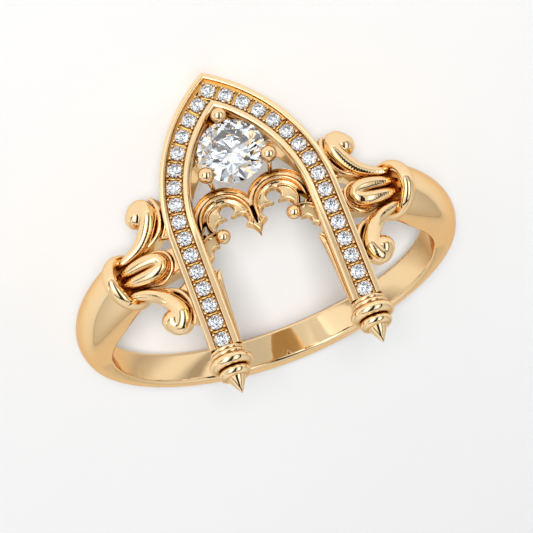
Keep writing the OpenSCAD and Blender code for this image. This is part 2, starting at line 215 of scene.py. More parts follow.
def gold_look(name, colour, shade_colour, rough, bump, line, rim_shade=0.55, reach=1.0, tint=(0.90, 0.68, 0.46)):
    """Polished cast gold: faint ripples, polishing haze and a faint random tone, with painted shade and
    reflection: a darker colour where the surface turns away from view and in crevices up to reach mm
    wide, standing in for gold mirroring gold, and painted dark lines of shade in the narrowest crevices
    and along the outline."""
    made, tree, shader = new_material(name)
    shader.inputs["Metallic"].default_value = 1.0
    shader.inputs["Specular Tint"].default_value = (*tint, 1)
    # The occlusion paints shade into crevices: the colour turns darker where other surfaces are near.
    occlusion = tree.nodes.new("ShaderNodeAmbientOcclusion")
    occlusion.samples = 6
    occlusion.inputs["Distance"].default_value = 0.001 * reach
    unblocked = Maths(tree, occlusion.outputs["AO"])
    weight = tree.nodes.new("ShaderNodeLayerWeight")
    weight.inputs["Blend"].default_value = 0.5
    turned = Maths(tree, weight.outputs["Facing"])
    tone = noise(tree, 900).ramp(0.3, 0.7, 0.0, 0.08)
    # Painted shade and reflection: the second colour where the surface turns away from view and in crevices,
    # with a faint random tone added.
    depth = turned.ramp(0.50, 0.97, 0.0, rim_shade) + unblocked.ramp(0.12, 0.85, 1, 0) + tone
    # Painted dark lines of shade: in the narrowest crevices, and along the outline where the surface turns
    # from view.
    lines = unblocked.ramp(0.22, 0.48, line, 0) + turned.ramp(0.84, 0.97, 0.0, 0.6)
    base = mix_colour(tree, depth.ramp(0.0, 1.0), colour, shade_colour)
    base = mix_colour(tree, lines.ramp(0.0, 1.0), base, PAINTED_SHADE_LINE_COLOUR)
    tree.links.new(base, shader.inputs["Base Color"])
    haze = noise(tree, 2500, 5, (1, 1, 0.25)).ramp(0.35, 0.75, rough, rough * 1.7)
    tree.links.new(haze.socket, shader.inputs["Roughness"])
    ripple = tree.nodes.new("ShaderNodeBump")
    ripple.inputs["Strength"].default_value = bump
    ripple.inputs["Distance"].default_value = 0.00002
    tree.links.new(noise(tree, 1400, 2).socket, ripple.inputs["Height"])
    tree.links.new(ripple.outputs["Normal"], shader.inputs["Normal"])
    return made


def stone_look(name, ior, tint):
    made, _, shader = new_material(name)
    shader.inputs["Base Color"].default_value = (*tint, 1)
    shader.inputs["Transmission Weight"].default_value = 1.0
    shader.inputs["IOR"].default_value = ior
    shader.inputs["Roughness"].default_value = 0.0
    return made


# The golds are copies of one gold that differ a little in colour and in how much shade each paints: the
# second colour is the painted shade, and the strengths after roughness and bump set the painted shade in
# crevices and at turned-away edges.
GOLD = gold_look("polished_gold", (0.99, 0.74, 0.43), (0.62, 0.31, 0.085),
    rough=0.035, bump=0.05, line=0.65, rim_shade=0.40)
SCROLL_GOLD = gold_look("polished_scroll_gold", (0.97, 0.71, 0.40), (0.58, 0.27, 0.065),
    rough=0.035, bump=0.05, line=0.35, rim_shade=0.45, reach=0.45)
CAST_GOLD = gold_look("polished_tracery_gold", (0.98, 0.71, 0.39), (0.54, 0.25, 0.06),
    rough=0.04, bump=0.05, line=0.95, rim_shade=0.40, reach=0.8, tint=(0.74, 0.52, 0.31))
BEAD_GOLD = gold_look("polished_bead_gold", (0.97, 0.70, 0.395), (0.46, 0.19, 0.035),
    rough=0.03, bump=0.02, line=0.4, rim_shade=1.0, tint=(0.50, 0.27, 0.10))
# The seats' gold is a darker orange than the rest, on a rougher finish: painted shade for the channel they
# sit in.
CHANNEL_SHADED_SEAT_GOLD = gold_look("seat_gold_with_painted_channel_shade", (0.93, 0.55, 0.17), (0.62, 0.29, 0.06),
    rough=0.20, bump=0.30, line=0.2)
# A darker orange gold for the collars' recesses, on a rough finish: painted shade in the recess.
RECESS_SHADED_GOLD = gold_look("rough_gold_with_painted_recess_shade", (0.95, 0.55, 0.19), (0.66, 0.33, 0.09),
    rough=0.30, bump=0.60, line=0.1)
CLEAR = stone_look("moissanite_clear", 2.4, (0.97, 0.985, 1.0))
SMALL_CLEAR = stone_look("small_stone_clear", 2.2, (0.97, 0.98, 1.0))


# Mesh helpers. A part is a pair of points and faces.

def add_piece(name, points, faces, look, slot, normals=None, sharp=None, flat=False):
    mesh = bpy.data.meshes.new(name)
    mesh.from_pydata(to_row(points).tolist(), [], faces if isinstance(faces, list) else faces.tolist())
    mesh.update()
    if normals is None:
        b = bmesh.new()
        b.from_mesh(mesh)
        bmesh.ops.recalc_face_normals(b, faces=b.faces)
        b.to_mesh(mesh)
        b.free()
    mesh.polygons.foreach_set("use_smooth", np.full(len(mesh.polygons), not flat))
    if sharp:
        mesh.set_sharp_from_angle(angle=math.radians(sharp))
    if normals is not None:
        mesh.normals_split_custom_set_from_vertices((normals @ TURN.T).tolist())
    piece = bpy.data.objects.new(name, mesh)
    bpy.context.scene.collection.objects.link(piece)
    mesh.materials.append(look)
    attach(piece, "root")
    return piece


def joined(parts):
    """Several parts as one."""
    points, faces, n = [], [], 0
    for p, f in parts:
        p = np.asarray(p, float).reshape(-1, 3)
        points.append(p)
        faces += [[i + n for i in face] for face in (f if isinstance(f, list) else f.tolist())]
        n += len(p)
    return np.concatenate(points), faces


def mirrored(part):
    """The same part on the other side of the finger."""
    points, faces = part
    flipped = np.array(points, float)
    flipped[:, 0] *= -1
    return flipped, [list(f)[::-1] for f in faces]


def on_both_sides(part):
    return joined([part, mirrored(part)])


def grid_faces(rows, cols, wrap_rows=False, wrap_cols=True):
    first = np.arange(rows if wrap_rows else rows - 1)
    second = np.arange(cols if wrap_cols else cols - 1)
    i, j = np.meshgrid(first, second, indexing="ij")
    i2, j2 = (i + 1) % rows, (j + 1) % cols
    return np.stack([i * cols + j, i2 * cols + j, i2 * cols + j2, i * cols + j2], -1).reshape(-1, 4)


def swept(rings, closed=False, caps=True):
    """Surface through rings with the same number of points."""
    rings = np.asarray(rings, float)
    rows, cols = rings.shape[:2]
    faces = grid_faces(rows, cols, closed).tolist()
    if caps and not closed:
        faces += [list(range(cols))[::-1], list(range((rows - 1) * cols, rows * cols))]
    return rings.reshape(-1, 3), faces


def curve_through(rows, steps):
    """Rows between the rows of a table, on a smooth curve through them."""
    rows = np.asarray(rows, float)
    p = np.concatenate([[2 * rows[0] - rows[1]], rows, [2 * rows[-1] - rows[-2]]])
    out = []
    for i in range(1, len(p) - 2):
        a, b, c, d = p[i - 1:i + 3]
        for t in np.arange(steps) / steps:
            square, cube = 2 * a - 5 * b + 4 * c - d, 3 * b - a - 3 * c + d
            out.append(0.5 * (2 * b + (c - a) * t + square * t * t + cube * t ** 3))
    return np.array(out + [rows[-1]])


def ball(centre, r, n=20):
    lat = np.linspace(0, math.pi, n + 1)[1:-1]
    lon = np.arange(2 * n) * math.pi / n
    ring = np.stack([np.outer(np.sin(lat), np.cos(lon)), np.outer(np.sin(lat), np.sin(lon)),
        np.outer(np.cos(lat), np.ones(2 * n))], -1).reshape(-1, 3)
    points = np.concatenate([[[0, 0, 1]], ring, [[0, 0, -1]]]) * r + centre
    faces = (grid_faces(n - 1, 2 * n) + 1).tolist()
    last = len(points) - 1
    for j in range(2 * n):
        k = (j + 1) % (2 * n)
        faces += [[0, 1 + j, 1 + k], [last, last - 2 * n + k, last - 2 * n + j]]
    return points, faces


def rod(a, b, ra, rb, n=16):
    a, b = np.array(a, float), np.array(b, float)
    way = (b - a) / np.linalg.norm(b - a)
    side = np.cross(way, [0, 0, 1] if abs(way[2]) < 0.9 else [1, 0, 0])
    side /= np.linalg.norm(side)
    up = np.cross(way, side)
    ring = np.outer(np.cos(turns(n)), side) + np.outer(np.sin(turns(n)), up)
    return swept([a + ring * ra, b + ring * rb])


def corner(cx, cy, r, from_deg, to_deg, n=6):
    t = np.radians(np.linspace(from_deg, to_deg, n))
    return [(cx + r * math.cos(a), cy + r * math.sin(a)) for a in t]


# Shapes given by a distance to their surface, for the cast ornament

# A surface's grid has one value for each block of this many points each way, and exact ones within
# this many steps of the surface, worked out this many at a time.
BLOCK, NEAR_STEPS, CHUNK = 4, 4.6, 200000


def blend_min(a, b, k):
    """The nearer of two surfaces, rounded over k where they meet."""
    h = np.clip(0.5 + 0.5 * (b - a) / k, 0, 1)
    return b + (a - b) * h - k * h * (1 - h)


def blend_max(a, b, k):
    return -blend_min(-a, -b, k)


def gradient(distance, p, e):
    return np.stack([(distance(p + v) - distance(p - v)) / (2 * e) for v in np.eye(3) * e], -1)


def unit(v):
    return v / np.maximum(np.linalg.norm(v, axis=1, keepdims=True), 1e-9)


def grid_values(distance, low, n, step):
    """The distance on a grid, exact near the surface and one value for each block elsewhere."""
    axes = [low[i] + step * np.arange(n[i]) for i in range(3)]
    points = np.stack(np.meshgrid(*[a[::BLOCK] for a in axes], indexing="ij"), -1)
    d = distance(points.reshape(-1, 3)).reshape(points.shape[:3])
    for axis in range(3):
        d = d.repeat(BLOCK, axis)
    values = np.array(d[tuple(slice(BLOCK // 2, BLOCK // 2 + n[i]) for i in range(3))])
    near = np.argwhere(np.abs(values) < NEAR_STEPS * step)
    found = [distance(low + step * near[a:a + CHUNK]) for a in range(0, len(near), CHUNK)]
    values[tuple(near.T)] = np.concatenate(found)
    return values


def mean_crossings(values, cells):
    """For each cell, the mean of the points where its edges cross the surface."""
    total, count = np.zeros((len(cells), 3)), np.zeros(len(cells))
    for axis in range(3):
        others = [o for o in range(3) if o != axis]
        for i in (0, 1):
            for j in (0, 1):
                a = np.zeros(3, int)
                a[others[0]], a[others[1]] = i, j
                b = a.copy()
                b[axis] = 1
                va, vb = values[tuple((cells + a).T)], values[tuple((cells + b).T)]
                cut = (va < 0) != (vb < 0)
                t = np.where(cut, va / np.where(cut, va - vb, 1), 0)
                total += np.where(cut[:, None], a + t[:, None] * (b - a), 0)
                count += cut
    return total / count[:, None]


def crossing_quads(inside, index, n):
    """A face for each grid edge that crosses the surface, through the four cells round it."""
    quads = []
    for axis in range(3):
        o1, o2 = [o for o in range(3) if o != axis]
        a = inside[tuple(slice(0, n[i] - (1 if i == axis else 0)) for i in range(3))]
        b = inside[tuple(slice(1 if i == axis else 0, n[i]) for i in range(3))]
        edges = np.argwhere(a != b)
        for o in (o1, o2):
            edges = edges[(edges[:, o] > 0) & (edges[:, o] < n[o] - 1)]
        quad = []
        for i, j in ((1, 1), (0, 1), (0, 0), (1, 0)):
            c = edges.copy()
            c[:, o1] -= i
            c[:, o2] -= j
            quad.append(index[tuple(c.T)])
        quads.append(np.stack(quad, -1))
    return np.concatenate(quads)


def surface_net(distance, low, high, step):
    """Mesh of the surface where distance(points) is 0, with its points and normals set from distance."""
    low, high = np.array(low, float), np.array(high, float)
    n = (np.ceil((high - low) / step).astype(int) // BLOCK + 1) * BLOCK + 1
    values = grid_values(distance, low, n, step)
    inside = values < 0
    cubes = [inside[i:n[0] - 1 + i, j:n[1] - 1 + j, k:n[2] - 1 + k]
        for i in (0, 1) for j in (0, 1) for k in (0, 1)]
    some = np.logical_or.reduce(cubes) & ~np.logical_and.reduce(cubes)
    cells = np.argwhere(some)
    index = np.full(some.shape, -1)
    index[some] = np.arange(len(cells))
    points = low + step * (cells + mean_crossings(values, cells))
    quads = crossing_quads(inside, index, n)
    for _ in range(2):
        g = gradient(distance, points, step * 0.2)
        move = -(distance(points) / np.maximum((g * g).sum(1), 0.05))[:, None] * g
        size = np.linalg.norm(move, axis=1, keepdims=True)
        points += move * np.minimum(1, 0.5 * step / np.maximum(size, 1e-9))
    normals = unit(gradient(distance, points, step * 0.2))
    v = points[quads]
    face = np.cross(v[:, 2] - v[:, 0], v[:, 3] - v[:, 1])
    wrong = (face * normals[quads].sum(1)).sum(1) < 0
    quads[wrong] = quads[wrong][:, ::-1]
    return points, quads, normals


def tube(p, path):
    """Distance to a round tube along path, whose rows are (three coordinates, radius)."""
    out = np.full(len(p), 1e9)
    for a, b in zip(path[:-1], path[1:]):
        way = b[:3] - a[:3]
        t = np.clip((p - a[:3]) @ way / max(way @ way, 1e-12), 0, 1)
        gap = p - a[:3] - t[:, None] * way
        out = np.minimum(out, np.sqrt((gap * gap).sum(1)) - (a[3] + t * (b[3] - a[3])))
    return out


def flat_tube(x, y, path):
    """The same in a plane: rows are (two coordinates, half width)."""
    out = np.full(len(x), 1e9)
    for a, b in zip(path[:-1], path[1:]):
        wx, wy = b[0] - a[0], b[1] - a[1]
        t = np.clip(((x - a[0]) * wx + (y - a[1]) * wy) / max(wx * wx + wy * wy, 1e-12), 0, 1)
        out = np.minimum(out, np.hypot(x - a[0] - t * wx, y - a[1] - t * wy) - (a[2] + t * (b[2] - a[2])))
    return out


def polygon(x, y, corners):
    """Distance to a polygon's edge, less than 0 inside."""
    d2, inside = np.full(len(x), 1e9), np.zeros(len(x), bool)
    for (ax, ay), (bx, by) in zip(corners, corners[1:] + corners[:1]):
        ex, ey = bx - ax, by - ay
        t = np.clip(((x - ax) * ex + (y - ay) * ey) / (ex * ex + ey * ey), 0, 1)
        d2 = np.minimum(d2, (x - ax - t * ex) ** 2 + (y - ay - t * ey) ** 2)
        if ey:
            inside ^= ((ay > y) != (by > y)) & (x < ax + (y - ay) * ex / ey)
    return np.where(inside, -1, 1) * np.sqrt(d2)


def disc(x, y, circle):
    """Distance to a circle of (centre x, centre y, radius)."""
    return np.hypot(x - circle[0], y - circle[1]) - circle[2]


def between(x, low, high):
    return np.maximum(low - x, x - high)


def box2(x, y, x0, x1, y0, y1):
    return np.maximum(between(x, x0, x1), between(y, y0, y1))


# Band: a round section that thickens up each side, cut flat on the inside and at its two rims

# The palm's arc touches both side arcs, in this direction from their centres.
STEP_R = SIDE_R - BAND_R
PALM_Z = (SIDE_X ** 2 + SIDE_Z ** 2 - STEP_R ** 2) / (2 * (SIDE_Z - STEP_R))
PALM_R = BAND_R + PALM_Z
MEET = 90 + math.degrees(math.atan2(SIDE_Z - PALM_Z, -SIDE_X))
COLLAR_PLACE = around(COLLAR_A, 0.0, COLLAR_R)
BAND_START = math.degrees(math.atan2(COLLAR_PLACE[0] - SIDE_X, COLLAR_PLACE[2] - SIDE_Z))
# How far the rims' cuts clear the dome at the collars, and the rounding at the rims and finger hole
RIM_CLEAR, RIM_ROUND, BORE_ROUND = 0.12, 0.30, 0.20
# Outlines along each arc, points on each outline, and how far from its middle they are looked for
BAND_ROWS, BAND_RAYS, RAY_END = 46, 128, 2.4


def band_distance(p):
    x, y, z = np.abs(p[:, 0]), np.abs(p[:, 1]), p[:, 2]
    on_side = np.degrees(np.arctan2(x - SIDE_X, z - SIDE_Z)) < MEET
    outer = np.where(on_side, np.hypot(x - SIDE_X, z - SIDE_Z) - SIDE_R, np.hypot(x, z - PALM_Z) - PALM_R)
    half = PALM_W / 2 + (DOME_R + RIM_CLEAR - PALM_W / 2) * np.clip(z / COLLAR_PLACE[2], 0, 1)
    body = blend_max(np.hypot(outer + DOME_R, y) - DOME_R, y - half, RIM_ROUND)
    return blend_max(body, FINGER_R - np.hypot(x, z), BORE_ROUND)


def band_ring(centre, r, direction):
    """The band's outline in the plane through an arc's centre, found along rays, and its middle."""
    a = math.radians(direction)
    way = np.array([math.sin(a), 0, math.cos(a)])
    start = np.array([centre[0], 0, centre[1]])
    along = way @ start
    bore = -along + math.sqrt(along * along - start @ start + FINGER_R ** 2)
    mid = start + way * (r + bore) / 2
    t = turns(BAND_RAYS)
    ray = np.outer(np.cos(t), way) + np.outer(np.sin(t), [0, 1, 0])
    low, high = np.zeros(BAND_RAYS), np.full(BAND_RAYS, RAY_END)
    for _ in range(30):
        half = (low + high) / 2
        out = band_distance(mid + ray * half[:, None]) > 0
        low, high = np.where(out, low, half), np.where(out, half, high)
    return mid + ray * low[:, None], mid, way


def add_band():
    side = (SIDE_X, SIDE_Z)
    rings = [band_ring(side, SIDE_R, d)[0] for d in np.linspace(BAND_START, MEET, BAND_ROWS)[:-1]]
    rings += [band_ring((0, PALM_Z), PALM_R, d)[0] for d in np.linspace(MEET, 180, BAND_ROWS)]
    rings += [r * [-1, 1, 1] for r in rings[-2::-1]]
    points, faces = swept(rings, caps=False)
    normals = unit(gradient(band_distance, points, 0.01))
    add_piece("band", points, faces, GOLD, "gold", normals=normals)


# Collars: an oval ring of rolled wire where the band meets each shoulder, round a rough floor whose darker
# gold is painted shade in the recess

# Half sizes of the oval, outwards and along the finger, and of the wire's own section
COLLAR_OUT, COLLAR_Y = 1.33, 1.25
ROLL_WIDE, ROLL_HIGH = 0.32, 0.40
# Rows of (share of the band's outline, distance into the band from its end)
RECESS = [(0.99, -0.18), (0.93, -0.16), (0.88, -0.06), (0.6, -0.02), (0.4, -0.08), (0.2, -0.02)]


def collar_recess():
    ring, mid, way = band_ring((SIDE_X, SIDE_Z), SIDE_R, BAND_START)
    into = np.array([way[2], 0, -way[0]])
    rows = [mid + (ring - mid) * share + into * d for share, d in RECESS]
    faces = grid_faces(len(RECESS), len(ring)).tolist()
    last = (len(RECESS) - 1) * len(ring)
    return swept(rows, caps=False)[0], faces + [list(range(last, last + len(ring)))]


def collar():
    out, along = around(COLLAR_A, 0, 1.0), around(COLLAR_A + 90, 0, 1.0)
    b = turns(28)
    rings = []
    for a in turns(96):
        mid = out * (COLLAR_R + COLLAR_OUT * math.sin(a)) + np.array([0, COLLAR_Y * math.cos(a), 0])
        way = out * math.sin(a) + np.array([0, math.cos(a), 0])
        rings.append(mid + np.outer(ROLL_WIDE * np.cos(b), way) + np.outer(ROLL_HIGH * np.sin(b), along))
    return swept(rings, closed=True)


def add_collars():
    add_piece("collar_recesses", *on_both_sides(collar_recess()), RECESS_SHADED_GOLD, "gold", sharp=40)
    add_piece("collars", *on_both_sides(collar()), SCROLL_GOLD, "gold")


# Shoulders: two scrolls and a bud, cast in one with their webs

# They are worked out unrolled, along the finger's round at this radius.
UNROLL_R = 10.2
MM_PER_DEG = UNROLL_R * math.pi / 180


def shoulder_path(rows, steps=4):
    """Rows of (direction, y, distance from the finger's middle, radius) as a path, unrolled."""
    p = curve_through(rows, steps)
    return np.column_stack([p[:, 0] * MM_PER_DEG, p[:, 1], p[:, 2] - UNROLL_R, p[:, 3]])


SCROLL = shoulder_path([(43.4, 0.92, 11.20, 0.16), (42.0, 0.95, 11.12, 0.20), (40.0, 1.00, 10.94, 0.25),
    (37.5, 1.17, 10.68, 0.31), (35.0, 1.46, 10.46, 0.37), (32.8, 1.86, 10.32, 0.43),
    (31.0, 2.34, 10.25, 0.48), (30.0, 2.80, 10.22, 0.50), (30.4, 3.18, 10.22, 0.49),
    (31.6, 3.40, 10.22, 0.47), (32.8, 3.36, 10.24, 0.48), (33.5, 3.14, 10.28, 0.53)])
SCROLL_BEAD = (33.6 * MM_PER_DEG, 3.00, 0.10, 0.58)
FLANGE = shoulder_path([(27.8, 3.62, 10.00, 0.11), (26.9, 3.36, 10.04, 0.12), (26.5, 2.94, 10.08, 0.13),
    (26.8, 2.44, 10.10, 0.13), (27.9, 1.94, 10.12, 0.13), (30.0, 1.54, 10.16, 0.12),
    (33.2, 1.26, 10.28, 0.11), (36.8, 1.04, 10.48, 0.10)])
BUD_RIM = shoulder_path([(37.0, 0.70, 10.36, 0.10), (34.0, 0.84, 10.26, 0.11), (31.2, 0.80, 10.20, 0.11),
    (29.0, 0.54, 10.18, 0.11), (28.0, 0.20, 10.18, 0.11), (27.9, 0.0, 10.18, 0.11)])
BUD_LOBE = shoulder_path([(43.4, 0.27, 11.30, 0.15), (42.0, 0.28, 11.24, 0.19), (39.5, 0.32, 11.10, 0.27),
    (37.0, 0.36, 10.94, 0.335), (34.5, 0.38, 10.78, 0.38), (32.4, 0.34, 10.65, 0.39),
    (30.9, 0.22, 10.56, 0.38), (30.3, 0.0, 10.50, 0.38)])
BUD_BED = shoulder_path([(45.0, 0, 10.90, 0.20), (42.0, 0, 10.84, 0.22), (38.5, 0, 10.66, 0.28),
    (35.0, 0, 10.46, 0.31), (31.5, 0, 10.26, 0.28), (29.0, 0, 10.10, 0.16)], 3)
# The bud's bed is made wider by one over this.
BUD_SQUASH = 0.42
# The scroll's underside starts at this row of its path
UNDERSIDE_ROW = 16
# Rows of (unrolled direction, y, half width), and the top's distance from the finger's middle
SHOULDER_WEB = np.array([[20.0 * MM_PER_DEG, 2.10, 1.0], [26.0 * MM_PER_DEG, 2.15, 0.95],
    [30.5 * MM_PER_DEG, 2.3, 0.85]])
WEB_TOP = 9.92


def shoulder_slab(u, y, r, to_deg, half, top):
    """A bent slab on the finger hole, from inside the arch's leg to a direction."""
    return np.maximum(np.maximum(y - half, between(u, 20 * MM_PER_DEG, to_deg * MM_PER_DEG)),
        between(r, FINGER_R, top))


def shoulder_distance(p):
    r = np.hypot(p[:, 0], p[:, 2])
    u = np.degrees(np.arctan2(p[:, 0], p[:, 2])) * MM_PER_DEG
    y, w = np.abs(p[:, 1]), r - UNROLL_R
    q = np.stack([u, y, w], -1)
    bead = np.linalg.norm(q - SCROLL_BEAD[:3], axis=1) - SCROLL_BEAD[3]
    scroll = blend_min(tube(q, SCROLL), bead, 0.05)
    wall = blend_max(flat_tube(u, y, FLANGE[:, [0, 1, 3]]) + 0.02, between(w, -0.8, 0.02), 0.06)
    under = flat_tube(u, y, SCROLL[UNDERSIDE_ROW:, [0, 1, 3]]) + 0.06
    out = blend_min(scroll, blend_max(under, between(w, -0.6, 0.04), 0.35), 0.06)
    out = blend_min(out, np.minimum(tube(q, FLANGE), wall), 0.04)
    bud = tube(q * [1, BUD_SQUASH, 1], BUD_BED * [1, BUD_SQUASH, 1, 1])
    bud = blend_min(bud, tube(q, BUD_RIM), 0.04)
    bud = blend_min(bud, tube(q, BUD_LOBE), 0.05)
    out = np.minimum(out, bud)
    strap = shoulder_slab(u, y, r, 44, 0.72, FINGER_R + 0.78)
    block = shoulder_slab(u, y, r, 32, 0.62, BACK_Z + 0.83)
    web = blend_max(flat_tube(u, y, SHOULDER_WEB), between(r, BACK_Z + 0.2, WEB_TOP), 0.25)
    out = blend_min(out, np.minimum(strap, block), 0.08)
    out = blend_min(out, web, 0.10)
    return np.maximum(out, FINGER_R - r) * 0.9


def add_shoulders():
    step = 0.05
    points, quads, normals = surface_net(shoulder_distance, (3.0, -4.1, 6.2), (8.6, 4.1, 11.2), step)
    add_piece("shoulder_right", points, quads, SCROLL_GOLD, "gold", normals=normals)
    flip = np.array([-1, 1, 1])
    add_piece("shoulder_left", points * flip, quads[:, ::-1], SCROLL_GOLD, "gold", normals=normals * flip)


# Arch frame: one section carried up each leg and round to the point

# Bevel at the back, roundings of the outer rail's two edges, and the channel's depth
BACK_CUT, RAIL_ROUND, CHANNEL_ROUND, CHANNEL_DEPTH = 0.06, 0.09, 0.08, 0.5
# How far up its arc the inner slope starts, and how far it leans in
SLOPE_START, SLOPE_LEAN = 0.30, 0.42


def frame_section():
    """Two rails beside a channel, as places across the line of stones and heights."""
    outer, inner = OUTER_OFF, -INNER_OFF
    rail_out, rail_in = CHANNEL_W / 2, -CHANNEL_W / 2
    s = [(outer - BACK_CUT, BACK_Z), (outer, BACK_Z + BACK_CUT)]
    s += corner(outer - RAIL_ROUND, FACE_Z - RAIL_ROUND, RAIL_ROUND, 0, 90)
    s += corner(rail_out + CHANNEL_ROUND, FACE_Z - CHANNEL_ROUND, CHANNEL_ROUND, 90, 180)
    s += [(rail_out, FACE_Z - CHANNEL_DEPTH), (rail_in, FACE_Z - CHANNEL_DEPTH)]
    s += corner(rail_in - 0.06, FACE_Z - 0.07, 0.06, 0, 80)
    s += [(rail_in - 0.2 + 0.2 * math.cos(t), FACE_Z - 0.24 + 0.24 * math.sin(t))
        for t in np.radians(np.linspace(75, 180, 12))]
    s += [(inner, BACK_Z + BACK_CUT), (inner + BACK_CUT, BACK_Z)]
    return s


def frame_place(u, t):
    """A point at an offset from the line of stones, t of the way up its own arc."""
    r, cx = (OUTER_R - OUTER_OFF + u, OUTER_CX) if u > 0 else (ARCH_R + u, ARCH_CX)
    a = t * math.acos(-cx / r)
    return cx + r * math.cos(a), SPRING_Y + r * math.sin(a)


def frame_half(leg_rows=6, arc_rows=64):
    section = frame_section()
    rows = [[(LEG_X + u, y, z) for u, z in section] for y in np.linspace(LEG_END, SPRING_Y, leg_rows)]
    for t in np.linspace(0, 1, arc_rows + 1)[1:]:
        rows.append([(*frame_place(u, t), z) for u, z in section])
    return swept(rows)


def inner_slope():
    """The arch's inner wall, which leans in under the inner rail beside the centre stone."""
    rows, r = [], ARCH_R - INNER_OFF
    for t in np.linspace(SLOPE_START, 1, 60):
        lean = SLOPE_LEAN * min(1, (t - SLOPE_START) / 0.25)
        row = []
        for u, z in ((0.03, FACE_Z - 0.30), (-0.3 * lean, FACE_Z - 0.50), (-0.8 * lean, 9.75), (-lean, 9.55),
                (-lean, BACK_Z + BACK_CUT), (0.03, BACK_Z + BACK_CUT / 2)):
            a = t * math.acos(-ARCH_CX / (r + u))
            row.append((max(ARCH_CX + (r + u) * math.cos(a), 0), SPRING_Y + (r + u) * math.sin(a), z))
        rows.append(row)
    return swept(rows, caps=False)


def add_arch():
    add_piece("inner_slopes", *on_both_sides(inner_slope()), CAST_GOLD, "gold", sharp=50)
    half = frame_half()
    add_piece("arch_frame_right", *half, GOLD, "gold", sharp=40)
    add_piece("arch_frame_left", *mirrored(half), GOLD, "gold", sharp=40)


# Seats of the small stones: a plate round each, four grains, bars between them and the floor beside

# Rows of (radius, depth below the face) up each seat's hole, and half of its cell each way
SEAT_ROWS = [(0.16, 0.48), (0.37, 0.20), (0.405, 0.17)]
CELL_ACROSS, CELL_ALONG, CELL_DEPTH = 0.45, 0.48, 0.20
GRAIN_ACROSS, GRAIN_ALONG, GRAIN_R, GRAIN_DEPTH = 0.34, 0.345, 0.085, 0.10
BAR_REACH, BAR_R, BAR_DEPTH = 0.46, 0.065, 0.16
# The bars start below this stone. The cells nearest the point of the arch have none between them.
FIRST_BAR = 4
# The floor beside the stones lies between these distances from their line.
LEDGE_FROM, LEDGE_TO = 0.43, 0.47


def line_place(s):
    """Place on the right-hand line of stones, and its direction across the channel, outwards."""
    if s < ARC_LENGTH:
        a = ARC_TURN - s / ARCH_R
        place = np.array([ARCH_CX + ARCH_R * math.cos(a), SPRING_Y + ARCH_R * math.sin(a)])
        return place, np.array([math.cos(a), math.sin(a)])
    return np.array([LEG_X, SPRING_Y - (s - ARC_LENGTH)]), np.array([1.0, 0.0])


def on_line(s, across, along, z):
    """A point beside the line of stones."""
    place, out = line_place(s)
    down = np.array([out[1], -out[0]])
    xy = place + out * across + down * along
    return [xy[0], xy[1], z]


def seat_plate(s):
    """Metal round one small stone: a plate with a tapered hole."""
    rows = []
    for r, depth in SEAT_ROWS:
        rows.append([on_line(s, r * math.cos(a), r * math.sin(a), FACE_Z - depth) for a in turns(32)])
    edge = []
    for a in turns(32):
        across, along = max(abs(math.cos(a)), 1e-6), max(abs(math.sin(a)), 1e-6)
        k = min(CELL_ACROSS / across, CELL_ALONG / along)
        edge.append(on_line(s, k * math.cos(a), k * math.sin(a), FACE_Z - CELL_DEPTH))
    return swept(rows + [edge], caps=False)


def cell_bar(i):
    """The bar between one stone and the next."""
    s = (i + 0.5) * PITCH
    ends = [on_line(s, side * BAR_REACH, 0, FACE_Z - BAR_DEPTH) for side in (-1, 1)]
    return rod(*ends, BAR_R, BAR_R, 10)


def seat_grains(i):
    """The grains round one stone. The last stone on a leg has none towards the finial."""
    return [ball(on_line(i * PITCH, across, along, FACE_Z - GRAIN_DEPTH), GRAIN_R, 7)
        for across in (-GRAIN_ACROSS, GRAIN_ACROSS) for along in (-GRAIN_ALONG, GRAIN_ALONG)
        if i < PER_SIDE or along < 0]


def ledge():
    """The channel's floor between the stones and the outer rail, where the channel widens."""
    rows, r = [], ARCH_R + LEDGE_FROM
    for t in np.linspace(0, 1, 40):
        a = t * math.acos(-ARCH_CX / r)
        rows.append([(*frame_place(LEDGE_TO, t), FACE_Z - 0.19),
            (ARCH_CX + r * math.cos(a), SPRING_Y + r * math.sin(a), FACE_Z - 0.21)])
    return swept(rows, caps=False)[0], grid_faces(len(rows), 2, wrap_cols=False).tolist()


def copies(i, part):
    """A part at a stone and its mirror image, or the part alone at the stone on the middle line."""
    return [part, mirrored(part)] if i else [part]


def add_seats():
    plates, bars, grains = [], [], []
    for i in range(PER_SIDE + 1):
        plates += copies(i, seat_plate(i * PITCH))
        if FIRST_BAR <= i < PER_SIDE:
            bars += copies(i, cell_bar(i))
        for grain in seat_grains(i):
            grains += copies(i, grain)
    floor = ledge()
    plates += [floor, mirrored(floor)]
    # The seats, bars and floor beside the stones take the darker gold of painted channel shade.
    add_piece("stone_seats", *joined(plates), CHANNEL_SHADED_SEAT_GOLD, "gold")
    add_piece("cell_bars", *joined(bars), CHANNEL_SHADED_SEAT_GOLD, "gold")
    add_piece("setting_grains", *joined(grains), GOLD, "gold")


# Tracery: twin round arches with cusps, a pendant, arms, and hooks at the legs

